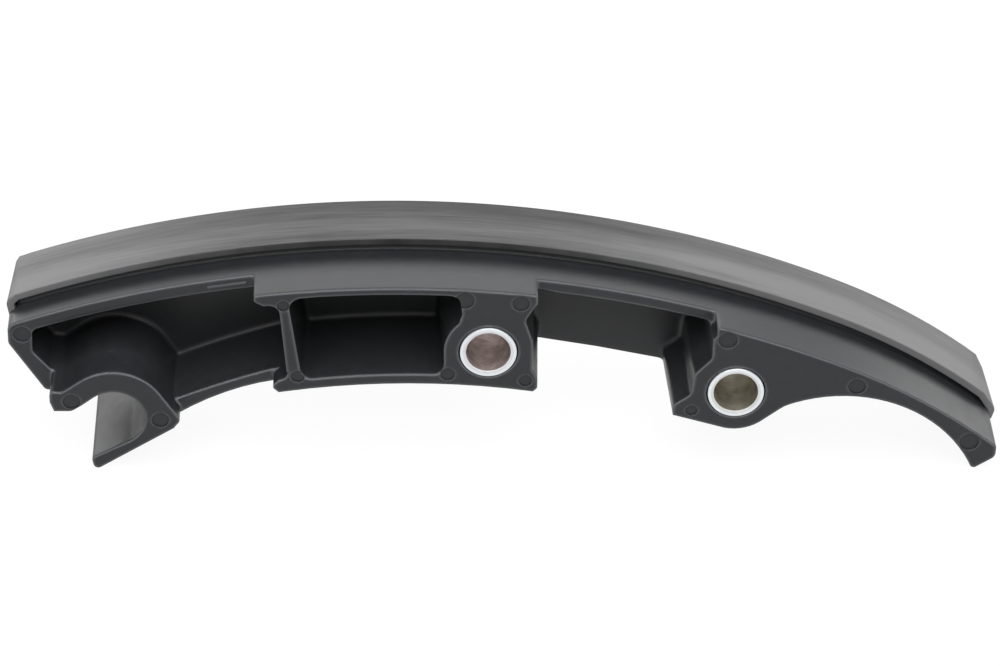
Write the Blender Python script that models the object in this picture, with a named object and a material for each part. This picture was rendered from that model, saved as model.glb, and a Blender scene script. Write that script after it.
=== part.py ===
"""Timing chain guide: moulded carrier, sliding shoe and two bolt sleeves.

Layout frame used below: x runs along the guide from the axis of the middle bolt,
y runs from the front face to the rear, z is the height from the crown of the running surface.
"""
import math

import bmesh
import bpy
from mathutils import Vector

MM = 0.001

# running surface: a long arc over the back and a tighter one towards the tail
RUN_APEX_X = -17.7 * MM
RUN_RADIUS = 219.3 * MM
TAIL_BREAK_X = 70.0 * MM
TAIL_RUN_RADIUS = 131.0 * MM

# carrier: its two ends, and its depths behind the front face
CARRIER_LEFT_X = -93.05 * MM
CARRIER_RIGHT_X = 100.45 * MM
BODY_DEPTH = 27.5 * MM
LEFT_RECESS = 7.5 * MM
RAIL_RECESS = 4.5 * MM
GAP_RECESS = 5.8 * MM
WEB_FRONT = 19.7 * MM
WEB_THICKNESS = 2.5 * MM
POCKET_DRAFT_DEG = 2.3
HOOK_POCKET_DRAFT_DEG = 0.9
WEB_FILLET = 0.9 * MM

# sliding shoe, its lips over both ends of the bed
SHOE_WIDTH = 14.2 * MM
SHOE_THICKNESS = 1.5 * MM
SHOE_OVERHANG = 1.1 * MM
SHOE_EDGE_ROUND = 0.35 * MM
SEAT_GAP = 0.3 * MM
BED_HEIGHT = 1.2 * MM
LEFT_LIP_OUT = 0.65 * MM
LEFT_LIP_REACH = 1.8 * MM
LEFT_LIP_THINNING = 0.95 * MM
LEFT_LIP_SHOULDER = 1.7 * MM
LEFT_LIP_LENGTH = 3.9 * MM
RIGHT_LIP_OUT = 1.55 * MM
RIGHT_LIP_REACH = 2.5 * MM
RIGHT_LIP_THINNING = 0.7 * MM
RIGHT_LIP_SHOULDER = 3.9 * MM
RIGHT_LIP_LENGTH = 2.4 * MM
LIP_TOE_IN = 0.7 * MM

# flange that carries the bed
LEFT_FLANGE = 2.5 * MM
MIDDLE_FLANGE = 1.35 * MM
GAP_FLANGE = 2.1 * MM
LEFT_FLANGE_ROUND = 3.0 * MM
RIGHT_FLANGE_ROUND = 1.2 * MM

# bosses and their steel sleeves, hung from the running surface above them
MIDDLE_BORE_DROP = 16.79 * MM
END_BORE_X = 48.4 * MM
END_BORE_DROP = 16.7 * MM
BOSS_RADIUS = 8.6 * MM
SLEEVE_OUTER_RADIUS = 5.5 * MM
SLEEVE_INNER_RADIUS = 4.35 * MM
SLEEVE_CHAMFER = 0.5 * MM
SLEEVE_PROUD = 0.25 * MM
BORE_CLEARANCE = 0.3 * MM

# hook at the left end: a slot open to the lower left, hung from the running surface too
SLOT_INSET = 20.4 * MM
SLOT_DROP = 26.0 * MM
SLOT_RADIUS = 6.15 * MM
HOOK_WALL = 4.5 * MM
UPPER_JAW_DEG = 38.0
UPPER_JAW_LENGTH = 2.9 * MM
LOWER_JAW_DEG = 28.3
LOWER_JAW_LENGTH = 8.5 * MM
HOOK_BASE_DEG = 32.5
HOOK_BASE_DEPTH = 8.2 * MM
HOOK_TIP_REACH = 9.9 * MM
HOOK_HEEL_REACH = 12.5 * MM
HOOK_SHANK_DEG = -57.0
HOOK_SHOULDER_LENGTH = 4.6 * MM
HOOK_SHANK_LENGTH = 5.2 * MM

# wall at the left end, above the upper jaw
LEFT_CORNER_DROP = 7.0 * MM
LEFT_WALL = 4.5 * MM
LEFT_TOE_REACH = 7.5 * MM
LEFT_TOE_DROP = 1.35 * MM
LEFT_TOE_WALL = 4.6 * MM

# middle block: two rims round the second pocket and the middle boss
BLOCK_LEFT_X = -40.3 * MM
BLOCK_RIGHT_X = 9.65 * MM
BLOCK_BELOW_BORE = 7.3 * MM
BLOCK_ARC_RADIUS = 155.0 * MM
BLOCK_RIM = 2.1 * MM
RIB_THICKNESS = 2.5 * MM
RIB_LEAN = 2.1 * MM
RIB_OFFSET = 0.3 * MM
LOBE = 1.3 * MM
STEP_SHOULDER = 1.3 * MM
RAIL_HEIGHT = 3.2 * MM
RAIL_HOLLOW = 0.85 * MM
LEFT_STEP_REACH = 4.8 * MM
MIDDLE_STEP_INSET = 0.35 * MM
END_STEP_REACH = 4.2 * MM
WEB_EDGE_BULGE = 0.25 * MM
BOSS_FOOT = 12.1 * MM

# tail: a hollow arc underneath, from an apex beside the end bore to the tip
TAIL_TIP_WIDTH = 4.45 * MM
TAIL_END_FACE = 5.32 * MM
TAIL_END_HEIGHT = 8.27 * MM
TAIL_APEX_REACH = 21.1 * MM
TAIL_NECK = 9.72 * MM
TAIL_SKIN = 2.6 * MM
TAIL_WALL = 2.3 * MM
TAIL_CORE_LENGTH = 9.8 * MM
TAIL_CORE_TAPER = 0.35 * MM

# corner rounds of the moulding, from crisp to full
CRISP_ROUND = 0.7 * MM
SMALL_ROUND = 1.1 * MM
MIDDLE_ROUND = 1.7 * MM
POCKET_ROUND = 3.0 * MM
WAIST_ROUND = 4.0 * MM
TAIL_BLEND_ROUND = 9.0 * MM
TAIL_BLEND_DEG = 12.0

# how finely curves and fillets are stepped, and how far cutters run past the part
FILLET_STEPS = 3
CURVE_STEP = 5.0 * MM
ARC_TOLERANCE = 0.02 * MM
SMALLEST_RADIUS = 0.05 * MM
CUT_OVERRUN = 1.0 * MM
FAR = 20.0 * MM

# sizes that follow from those above
FLANGE_DROP = SHOE_THICKNESS + SEAT_GAP + BED_HEIGHT
SHOE_FRONT = BODY_DEPTH - SHOE_WIDTH
STEP_LEFT_X = BLOCK_LEFT_X - LEFT_STEP_REACH
STEP_MIDDLE_X = BLOCK_RIGHT_X - MIDDLE_STEP_INSET
STEP_RIGHT_X = END_BORE_X - END_STEP_REACH
TAIL_TIP_X = CARRIER_RIGHT_X - TAIL_TIP_WIDTH
TAIL_APEX_X = END_BORE_X + TAIL_APEX_REACH
SLOT_X = CARRIER_LEFT_X + SLOT_INSET


def removeAll():
    for item in list(bpy.data.objects):
        bpy.data.objects.remove(item, do_unlink=True)


def makeMaterial(name, color, roughness, metallic):
    material = bpy.data.materials.new(name)
    material.use_nodes = True
    shader = material.node_tree.nodes["Principled BSDF"]
    shader.inputs["Base Color"].default_value = (color[0], color[1], color[2], 1.0)
    shader.inputs["Roughness"].default_value = roughness
    shader.inputs["Metallic"].default_value = metallic
    material.diffuse_color = (color[0], color[1], color[2], 1.0)
    return material


def polar(centre, radius, degrees):
    angle = math.radians(degrees)
    return (centre[0] + radius * math.cos(angle), centre[1] + radius * math.sin(angle))


def direction(start, end):
    return math.degrees(math.atan2(end[1] - start[1], end[0] - start[0]))


def arc(centre, radius, start, end):
    """Points on a circle from one angle to another, both ends included."""
    widest = 2 * math.acos(1 - ARC_TOLERANCE / radius)
    count = max(1, math.ceil(math.radians(abs(end - start)) / widest))
    return [polar(centre, radius, start + (end - start) * i / count) for i in range(count + 1)]


def runHeight(x):
    """Height of the running surface at x."""
    if x <= TAIL_BREAK_X:
        return math.sqrt(RUN_RADIUS ** 2 - (x - RUN_APEX_X) ** 2) - RUN_RADIUS
    lean = (TAIL_BREAK_X - RUN_APEX_X) / RUN_RADIUS
    rise = math.sqrt(1.0 - lean ** 2)
    tailX = TAIL_BREAK_X - TAIL_RUN_RADIUS * lean
    tailZ = (RUN_RADIUS - TAIL_RUN_RADIUS) * rise - RUN_RADIUS
    return tailZ + math.sqrt(TAIL_RUN_RADIUS ** 2 - (x - tailX) ** 2)


# centres that hang from the running surface
MIDDLE_BORE = (0.0, runHeight(0.0) - MIDDLE_BORE_DROP)
END_BORE = (END_BORE_X, runHeight(END_BORE_X) - END_BORE_DROP)
SLOT = (SLOT_X, runHeight(SLOT_X) - SLOT_DROP)


def runCurve(start, end, drop=0.0):
    """Points along the running surface, lowered by drop."""
    count = max(2, round(abs(end - start) / CURVE_STEP))
    stations = [start + (end - start) * i / count for i in range(count + 1)]
    return [(x, runHeight(x) - drop) for x in stations]


def blockHeight(x):
    """Height of the lower edge of the middle block at x."""
    middle = (BLOCK_LEFT_X + BLOCK_RIGHT_X) / 2
    drop = BLOCK_ARC_RADIUS - math.sqrt(BLOCK_ARC_RADIUS ** 2 - (x - middle) ** 2)
    return MIDDLE_BORE[1] - BLOCK_BELOW_BORE - drop


def blockCurve(start, end, lift=0.0):
    """Points along the lower edge of the middle block, raised by lift."""
    count = max(2, round(abs(end - start) / CURVE_STEP))
    stations = [start + (end - start) * i / count for i in range(count + 1)]
    return [(x, blockHeight(x) + lift) for x in stations]


def shifted(points, distance, closed=True):
    """Each point moved to the left of its path, so that every edge moves by distance."""
    moved = []
    total = len(points)
    for i, point in enumerate(points):
        here = Vector(point)
        last = Vector(points[i - 1]) if closed or i > 0 else here * 2 - Vector(points[i + 1])
        following = Vector(points[(i + 1) % total]) if closed or i < total - 1 else here * 2 - last
        one = (here - last).normalized()
        two = (following - here).normalized()
        normalOne = Vector((-one.y, one.x))
        normalTwo = Vector((-two.y, two.x))
        miter = (normalOne + normalTwo) / max(0.2, 1.0 + normalOne.dot(normalTwo))
        place = here + miter * distance
        moved.append((place.x, place.y))
    return moved


def signedArea(points):
    return sum(a[0] * b[1] - b[0] * a[1] for a, b in zip(points, points[1:] + points[:1])) / 2


def rounded(corners, inset=0.0):
    """Closed outline with each corner (x, z, radius) turned into an arc, moved inside by inset."""
    points = [corner[:2] for corner in corners]
    winding = 1.0 if signedArea(points) > 0 else -1.0
    places = shifted(points, inset * winding)
    outline = []
    total = len(corners)
    for i, corner in enumerate(corners):
        here = Vector(points[i])
        place = Vector(places[i])
        radius = corner[2] if len(corner) > 2 else 0.0
        before = Vector(points[i - 1]) - here
        after = Vector(points[(i + 1) % total]) - here
        turn = math.pi - before.angle(after)
        if radius <= 0.0 or turn < 0.02:
            outline.append((place.x, place.y))
            continue
        half = math.tan(turn / 2)
        radius = min(radius * half, 0.45 * before.length, 0.45 * after.length) / half
        count = max(1, math.ceil(turn / (2 * math.acos(max(0.9, 1 - ARC_TOLERANCE / radius)))))
        side = 1.0 if before.x * after.y - before.y * after.x < 0 else -1.0
        radius = max(radius - inset * side * winding, SMALLEST_RADIUS)
        reach = radius * half
        bisector = (before.normalized() + after.normalized()).normalized()
        centre = place + bisector * math.hypot(radius, reach)
        first = place + before.normalized() * reach - centre
        start = math.atan2(first.y, first.x)
        for k in range(count + 1):
            angle = start + side * turn * k / count
            outline.append((centre.x + radius * math.cos(angle), centre.y + radius * math.sin(angle)))
    return outline


def loft(name, corners, sections):
    """Solid through several depths, at each of which the outline is moved inside by an inset."""
    mesh = bpy.data.meshes.new(name)
    build = bmesh.new()
    rings = []
    for depth, inset in sections:
        rings.append([build.verts.new((x, depth, z)) for x, z in rounded(corners, inset)])
    build.faces.new(rings[0])
    build.faces.new(rings[-1][::-1])
    for near, far in zip(rings, rings[1:]):
        for i in range(len(near)):
            build.faces.new((near[i], near[i - 1], far[i - 1], far[i]))
    bmesh.ops.recalc_face_normals(build, faces=build.faces[:])
    build.to_mesh(mesh)
    build.free()
    item = bpy.data.objects.new(name, mesh)
    bpy.context.scene.collection.objects.link(item)
    return item


def prism(name, corners, front, rear, frontInset=0.0, rearInset=0.0):
    """Solid between two depths; the insets give its side walls their draft."""
    return loft(name, corners, [(front, frontInset), (rear, rearInset)])


def cut(body, cutter):
    cutter.hide_render = True
    cutter.display_type = "WIRE"
    modifier = body.modifiers.new(cutter.name, "BOOLEAN")
    modifier.operation = "DIFFERENCE"
    modifier.solver = "EXACT"
    modifier.object = cutter
    return modifier


def cutPocket(body, name, outline, draft):
    """A drafted pocket from the front down to the web, filleted all round, and its twin behind."""
    slope = math.tan(math.radians(draft))
    webRear = WEB_FRONT + WEB_THICKNESS
    behind = BODY_DEPTH + CUT_OVERRUN
    fillet = []
    for k in range(FILLET_STEPS + 1):
        angle = math.pi / 2 * k / FILLET_STEPS
        fillet.append((WEB_FILLET * (1 - math.sin(angle)), WEB_FILLET * (1 - math.cos(angle))))
    floor = WEB_FRONT * slope
    front = [(-CUT_OVERRUN, -CUT_OVERRUN * slope)]
    front += [(WEB_FRONT - away, floor - away * slope + inset) for away, inset in fillet]
    rear = [(webRear + away, floor - away * slope + inset) for away, inset in reversed(fillet)]
    rear.append((behind, floor - (behind - webRear) * slope))
    cut(body, loft("cut_front_" + name, outline, front))
    cut(body, loft("cut_rear_" + name, outline, rear))


def shoeOuterPath():
    """Outside of the shoe: left lip, running surface, right lip."""
    leftOutX = CARRIER_LEFT_X - LEFT_LIP_OUT
    rightOutX = CARRIER_RIGHT_X + RIGHT_LIP_OUT
    left = (leftOutX + LEFT_LIP_REACH, runHeight(leftOutX + LEFT_LIP_REACH))
    right = (rightOutX - RIGHT_LIP_REACH, runHeight(rightOutX - RIGHT_LIP_REACH))
    leftOut = (leftOutX, left[1] - LEFT_LIP_SHOULDER)
    rightOut = (rightOutX, right[1] - RIGHT_LIP_SHOULDER)
    leftEnd = (leftOutX + LIP_TOE_IN, leftOut[1] - LEFT_LIP_LENGTH)
    rightEnd = (rightOutX - LIP_TOE_IN, rightOut[1] - RIGHT_LIP_LENGTH)
    crease = SHOE_THICKNESS * 0.3
    soft = SHOE_THICKNESS * 1.2
    path = [leftEnd, leftOut + (soft,), left + (crease,)]
    path += runCurve(left[0], right[0])[1:-1]
    path += [right + (crease,), rightOut + (soft,), rightEnd]
    return path


def openPath(corners, inset=0.0):
    """The rounded form of an open path, moved inside by inset; its radii shrink with it."""
    places = shifted([c[:2] for c in corners], -inset, closed=False)
    moved = []
    for (x, z), corner in zip(places, corners):
        moved.append((x, z, max(0.0, corner[2] - inset) if len(corner) > 2 else 0.0))
    closing = [(moved[-1][0], moved[-1][1] - FAR), (moved[0][0], moved[0][1] - FAR)]
    return rounded(moved + closing)[:-2]


def makeShoe(material):
    outer = openPath(shoeOuterPath())
    inner = openPath(shoeOuterPath(), SHOE_THICKNESS)
    item = prism("sliding_shoe", outer + inner[::-1], SHOE_FRONT, SHOE_FRONT + SHOE_WIDTH)

    # both lips keep their inner face and thin towards the rear
    path = shoeOuterPath()
    left = path[2][0]
    right = path[-3][0]
    behind = len(outer) + len(inner)
    for vertex in item.data.vertices[behind:behind + len(outer)]:
        if vertex.co.x < left:
            vertex.co.x += LEFT_LIP_THINNING * (left - vertex.co.x) / LEFT_LIP_REACH
        elif vertex.co.x > right:
            vertex.co.x -= RIGHT_LIP_THINNING * (vertex.co.x - right) / RIGHT_LIP_REACH
    bevel = item.modifiers.new("edge_round", "BEVEL")
    bevel.width = SHOE_EDGE_ROUND
    bevel.segments = 1
    bevel.limit_method = "ANGLE"
    bevel.angle_limit = math.radians(50)
    item.data.materials.append(material)
    return item


def seatOutline():
    """Space that the shoe takes above the carrier, with its clearance."""
    seat = openPath(shoeOuterPath(), SHOE_THICKNESS + SEAT_GAP)
    leftDown = (Vector(seat[0]) - Vector(seat[1])).normalized() * SEAT_GAP
    rightDown = (Vector(seat[-1]) - Vector(seat[-2])).normalized() * SEAT_GAP
    first = Vector(seat[0]) + leftDown
    last = Vector(seat[-1]) + rightDown
    top = FAR
    outline = [(first.x, first.y)] + seat[1:-1] + [(last.x, last.y)]
    outline += [(CARRIER_RIGHT_X + FAR, last.y), (CARRIER_RIGHT_X + FAR, top)]
    outline += [(CARRIER_LEFT_X - FAR, top), (CARRIER_LEFT_X - FAR, first.y)]
    return outline


def ledgeOutline():
    """Space above the flange in front of and behind the bed."""
    left = CARRIER_LEFT_X - SEAT_GAP
    right = CARRIER_RIGHT_X + SEAT_GAP
    leftZ = runHeight(left) - FLANGE_DROP
    rightZ = runHeight(right) - FLANGE_DROP
    top = FAR
    corners = [(left, leftZ - FAR), (left, leftZ, LEFT_FLANGE_ROUND)]
    corners += runCurve(left + 2.2 * LEFT_FLANGE_ROUND, right - 3.0 * RIGHT_FLANGE_ROUND, FLANGE_DROP)
    corners += [(right, rightZ, RIGHT_FLANGE_ROUND), (right, rightZ - FAR), (right + FAR, rightZ - FAR)]
    corners += [(right + FAR, top), (left - FAR, top), (left - FAR, leftZ - FAR)]
    return corners


def leftToe():
    """Lower end of the left wall, beside the tip of the upper jaw, and that tip."""
    tangent = polar(SLOT, SLOT_RADIUS, UPPER_JAW_DEG + 90)
    jaw = polar(tangent, UPPER_JAW_LENGTH, UPPER_JAW_DEG + 180)
    return (jaw[0] - LEFT_TOE_REACH, jaw[1] - LEFT_TOE_DROP), jaw


def hookHeel():
    """Tip and heel of the lower jaw, at the two ends of the flat base face."""
    foot = polar(SLOT, HOOK_BASE_DEPTH, HOOK_BASE_DEG - 90)
    tip = polar(foot, HOOK_TIP_REACH, HOOK_BASE_DEG + 180)
    heel = polar(foot, HOOK_HEEL_REACH, HOOK_BASE_DEG)
    return tip, heel


def tailHollow():
    """Centre and radius of the hollow under the tail, and the direction of the tip from there."""
    apexZ = runHeight(TAIL_APEX_X) - TAIL_NECK
    tipZ = runHeight(CARRIER_RIGHT_X) - TAIL_END_HEIGHT
    rise = apexZ - tipZ
    reach = TAIL_TIP_X - TAIL_APEX_X
    radius = (reach ** 2 + rise ** 2) / (2 * rise)
    centre = (TAIL_APEX_X, apexZ - radius)
    return centre, radius, direction(centre, (TAIL_TIP_X, tipZ))


def railCurve(start, end, hollow):
    """Points between the two ends of the rail, raised along a shallow arch."""
    count = max(4, round((end[0] - start[0]) / CURVE_STEP) + 2)
    shares = [i / count for i in range(1, count)]
    curve = []
    for share in shares:
        x = start[0] + (end[0] - start[0]) * share
        z = start[1] + (end[1] - start[1]) * share + 4 * hollow * share * (1 - share)
        curve.append((x, z))
    return curve


def envelopeOutline():
    """Outline of the whole carrier seen from the front, anticlockwise."""
    toe, jaw = leftToe()
    tip, heel = hookHeel()
    lowerTangent = polar(SLOT, SLOT_RADIUS, LOWER_JAW_DEG - 90)
    lowerLip = polar(lowerTangent, LOWER_JAW_LENGTH, LOWER_JAW_DEG + 180)
    corners = [(CARRIER_LEFT_X, runHeight(CARRIER_LEFT_X) - LEFT_CORNER_DROP, MIDDLE_ROUND)]
    corners += [toe + (SMALL_ROUND,), (jaw[0] - 0.27 * LEFT_TOE_REACH, toe[1], MIDDLE_ROUND)]
    corners += [jaw + (SMALL_ROUND,)]
    corners += arc(SLOT, SLOT_RADIUS, UPPER_JAW_DEG + 90, LOWER_JAW_DEG - 90)
    corners += [lowerLip + (CRISP_ROUND,), tip + (SMALL_ROUND,), heel + (MIDDLE_ROUND,)]

    # rail arched up to the middle block, then along the block's lower edge
    blockStart = BLOCK_LEFT_X - 0.7 * LOBE
    blockEnd = BLOCK_RIGHT_X - LOBE
    railEnd = (blockStart, blockHeight(blockStart))
    corners += railCurve(heel, railEnd, RAIL_HOLLOW) + [railEnd + (CRISP_ROUND,)]
    corners += blockCurve(blockStart + 1.5 * LOBE, blockEnd)

    # lower edge of the bare web between the bosses
    webEnd = (END_BORE_X - BOSS_FOOT, END_BORE[1] - 0.62 * BOSS_RADIUS)
    webMiddle = ((blockEnd + webEnd[0]) / 2, (blockHeight(blockEnd) + webEnd[1]) / 2 + WEB_EDGE_BULGE)
    corners += [webMiddle, webEnd + (CRISP_ROUND,)]

    # round the end boss and along the hollow under the tail
    centre, radius, tipDirection = tailHollow()
    waist = direction(END_BORE, centre)
    under = arc(centre, radius, waist + 180 - TAIL_BLEND_DEG, tipDirection)
    corners += arc(END_BORE, BOSS_RADIUS, -90 - TAIL_BLEND_DEG, waist)
    corners += [under[0] + (TAIL_BLEND_ROUND,)] + under[1:-1]
    endZ = runHeight(CARRIER_RIGHT_X) - TAIL_END_FACE
    corners += [under[-1] + (SMALL_ROUND,), (CARRIER_RIGHT_X, endZ, MIDDLE_ROUND)]

    # up the end face and back inside the shoe, which the seat cut then clears
    corners += runCurve(CARRIER_RIGHT_X, CARRIER_LEFT_X, SHOE_THICKNESS + 0.5 * SEAT_GAP)
    return corners


def hookLine():
    """Top of the hook as seen inside the first pocket: shoulder, crown and shank."""
    crown = arc(SLOT, SLOT_RADIUS + HOOK_WALL, UPPER_JAW_DEG + 88, HOOK_SHANK_DEG + 90)
    shoulder = polar(crown[0], HOOK_SHOULDER_LENGTH, UPPER_JAW_DEG + 178)
    shank = polar(crown[-1], HOOK_SHANK_LENGTH, HOOK_SHANK_DEG)
    return shoulder, crown, shank


def ribLeft(height):
    """Left side of the rib between the pockets: it leans away towards the bottom."""
    low = blockHeight(BLOCK_LEFT_X)
    span = runHeight(BLOCK_LEFT_X) - FLANGE_DROP - low
    return BLOCK_LEFT_X - RIB_OFFSET + RIB_LEAN * (1 - (height - low) / span)


def pocketOneOutline():
    """Long pocket between the left wall, the hook, the rail, the rib and the flange."""
    drop = FLANGE_DROP + LEFT_FLANGE
    shoulder, crown, shank = hookLine()
    toe, jaw = leftToe()
    wallX = CARRIER_LEFT_X + LEFT_WALL
    floorZ = blockHeight(BLOCK_LEFT_X) + RAIL_HEIGHT
    roofZ = runHeight(BLOCK_LEFT_X) - drop
    corners = [(wallX, runHeight(wallX) - drop, MIDDLE_ROUND)]
    corners += [(wallX, toe[1] + 1.9 * LEFT_TOE_WALL, MIDDLE_ROUND)]
    corners += [(toe[0] + 0.24 * LEFT_TOE_WALL, toe[1] + LEFT_TOE_WALL, SMALL_ROUND)]
    corners += [shoulder + (SMALL_ROUND,)] + crown + [shank + (CRISP_ROUND,)]
    corners += railCurve(shank, (ribLeft(floorZ), floorZ), 0.5 * RAIL_HOLLOW)
    corners += [(ribLeft(floorZ), floorZ, SMALL_ROUND), (ribLeft(roofZ), roofZ, POCKET_ROUND)]
    corners += runCurve(STEP_LEFT_X, wallX + LEFT_WALL, drop)
    return corners


def pocketTwoOutline():
    """Pocket between the rib and the middle boss."""
    drop = FLANGE_DROP + MIDDLE_FLANGE
    boss = arc(MIDDLE_BORE, BOSS_RADIUS, 186, 132)
    bossX, bossZ = boss[0]
    floorZ = blockHeight(BLOCK_LEFT_X) + 1.3 * BLOCK_RIM
    roofZ = runHeight(BLOCK_LEFT_X) - drop
    cornerX = boss[-1][0]
    corners = [(ribLeft(roofZ) + 0.7 * RIB_THICKNESS, roofZ, POCKET_ROUND)]
    corners += [(ribLeft(floorZ) + 1.1 * RIB_THICKNESS, floorZ, POCKET_ROUND)]
    corners += blockCurve(BLOCK_LEFT_X + 3.1 * POCKET_ROUND, bossX - 1.8 * POCKET_ROUND, BLOCK_RIM)
    corners += [(bossX, blockHeight(bossX) + BLOCK_RIM, POCKET_ROUND)] + boss
    corners += [(cornerX + 0.6 * SMALL_ROUND, boss[-1][1] + 2 * SMALL_ROUND, SMALL_ROUND)]
    corners += [(cornerX, runHeight(cornerX) - drop, POCKET_ROUND)]
    corners += runCurve(cornerX - 2 * POCKET_ROUND, BLOCK_LEFT_X + 2.4 * POCKET_ROUND, drop)
    return corners


def gapOutline():
    """Open space between the bosses: waisted side of the block, flange, end boss."""
    drop = FLANGE_DROP + GAP_FLANGE
    side = BOSS_RADIUS
    blockZ = blockHeight(BLOCK_RIGHT_X)
    low = min(blockZ, END_BORE[1]) - FAR
    corners = [(BLOCK_RIGHT_X - 1.4 * LOBE, low), (BLOCK_RIGHT_X - LOBE, blockZ - 0.2 * LOBE)]
    corners += [(BLOCK_RIGHT_X, blockZ + 0.7 * LOBE, CRISP_ROUND)]
    corners += [(BLOCK_RIGHT_X, blockZ + 2.3 * LOBE, MIDDLE_ROUND)]
    corners += [(side, MIDDLE_BORE[1] - 0.5 * side, SMALL_ROUND)]
    corners += [(side, MIDDLE_BORE[1] + 0.25 * side, WAIST_ROUND)]
    corners += [(0.81 * side, MIDDLE_BORE[1] + 0.83 * side, MIDDLE_ROUND)]
    corners += [(STEP_MIDDLE_X, runHeight(STEP_MIDDLE_X) - drop + 0.5 * SMALL_ROUND, SMALL_ROUND)]
    corners += runCurve(STEP_MIDDLE_X + WAIST_ROUND, STEP_RIGHT_X - WAIST_ROUND, drop)
    right = STEP_RIGHT_X - CRISP_ROUND
    foot = END_BORE_X - BOSS_FOOT
    corners += [(right, runHeight(right) - drop, MIDDLE_ROUND)]
    corners += [(right, END_BORE[1] + 0.9 * side, MIDDLE_ROUND)]
    corners += [(END_BORE_X - 0.95 * side, END_BORE[1] + 0.48 * side, MIDDLE_ROUND)]
    corners += [(END_BORE_X - 1.01 * side, END_BORE[1] - 0.07 * side, MIDDLE_ROUND)]
    corners += [(foot, END_BORE[1] - 0.36 * side, CRISP_ROUND), (foot, low)]
    return corners


def leftRecessOutline():
    """Where the left end stands back from the front face, down to the hook."""
    top = FAR
    shoulder, crown, shank = hookLine()
    toe, jaw = leftToe()
    stepZ = runHeight(STEP_LEFT_X) - FLANGE_DROP - STEP_SHOULDER
    rib = ribLeft(stepZ)
    corners = [(CARRIER_LEFT_X - FAR, top), (STEP_LEFT_X, top), (STEP_LEFT_X, stepZ, CRISP_ROUND)]
    corners += [(0.5 * (STEP_LEFT_X + rib), stepZ - STEP_SHOULDER, SMALL_ROUND)]
    corners += [(STEP_LEFT_X, stepZ - 3 * LEFT_FLANGE), (crown[-1][0], crown[0][1] + LEFT_FLANGE)]
    corners += [(shoulder[0] + LEFT_FLANGE, shoulder[1] + HOOK_WALL)]
    corners += [(toe[0] + LOBE, toe[1] + 0.85 * LEFT_TOE_WALL, CRISP_ROUND)]
    corners += [(toe[0] + LOBE, toe[1] + 0.45 * LEFT_TOE_WALL, CRISP_ROUND)]
    corners += [(toe[0] + 2 * LOBE, toe[1] - LOBE), (CARRIER_LEFT_X - FAR, toe[1] - LOBE)]
    return corners


def railRecessOutline():
    """Where the rail under the first pocket stands back between hook and block."""
    shoulder, crown, shank = hookLine()
    tip, heel = hookHeel()
    low = heel[1] - LEFT_WALL
    blockZ = blockHeight(BLOCK_LEFT_X)
    lobe = BLOCK_LEFT_X - LOBE
    corners = [(shank[0], shank[1] + RAIL_HEIGHT), shank]
    corners += [(shank[0] + LOBE, shank[1] - 0.6 * RAIL_HEIGHT, SMALL_ROUND)]
    corners += [(shank[0], shank[1] - 1.1 * RAIL_HEIGHT), (shank[0], low), (lobe + 0.8 * LOBE, low)]
    corners += [(lobe + 0.8 * LOBE, blockZ), (lobe, blockZ + 0.7 * LOBE, CRISP_ROUND)]
    corners += [(lobe, blockZ + 1.3 * LOBE, CRISP_ROUND), (ribLeft(blockZ), blockZ + 3.4 * LOBE)]
    corners += [(lobe - LOBE, blockZ + 5.5 * LOBE)]
    return corners


def gapRecessOutline():
    """Where the flange between the bosses stands back."""
    top = FAR
    leftZ = runHeight(STEP_MIDDLE_X) - FLANGE_DROP - GAP_FLANGE
    rightZ = runHeight(STEP_RIGHT_X) - FLANGE_DROP - GAP_FLANGE
    low = 1.5 * GAP_FLANGE
    corners = [(STEP_MIDDLE_X, top), (STEP_MIDDLE_X, leftZ, CRISP_ROUND)]
    corners += [(STEP_MIDDLE_X + low, leftZ - low), (STEP_RIGHT_X - low, rightZ - low)]
    corners += [(STEP_RIGHT_X, rightZ, CRISP_ROUND), (STEP_RIGHT_X, top)]
    return corners


def tailCoreOutline():
    """Coring between the end boss and the root of the tail, open to the rear."""
    centre, radius, tipDirection = tailHollow()
    radius += TAIL_WALL
    start = END_BORE_X + BOSS_RADIUS + TAIL_WALL
    stations = [start + TAIL_CORE_LENGTH * k / 4 for k in range(5)]
    under = [(x, centre[1] + math.sqrt(radius ** 2 - (x - centre[0]) ** 2)) for x in stations]
    over = runCurve(stations[-1], start, FLANGE_DROP + TAIL_WALL)
    corners = [under[0] + (SMALL_ROUND,)] + under[1:-1] + [under[-1] + (CRISP_ROUND,)]
    corners += [over[0] + (CRISP_ROUND,)] + over[1:-1] + [over[-1] + (SMALL_ROUND,)]
    return corners


def cylinder(name, centre, radius, front, rear, count=48):
    outline = [polar(centre, radius, 360.0 * i / count) for i in range(count)]
    return prism(name, outline, front, rear)


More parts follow.
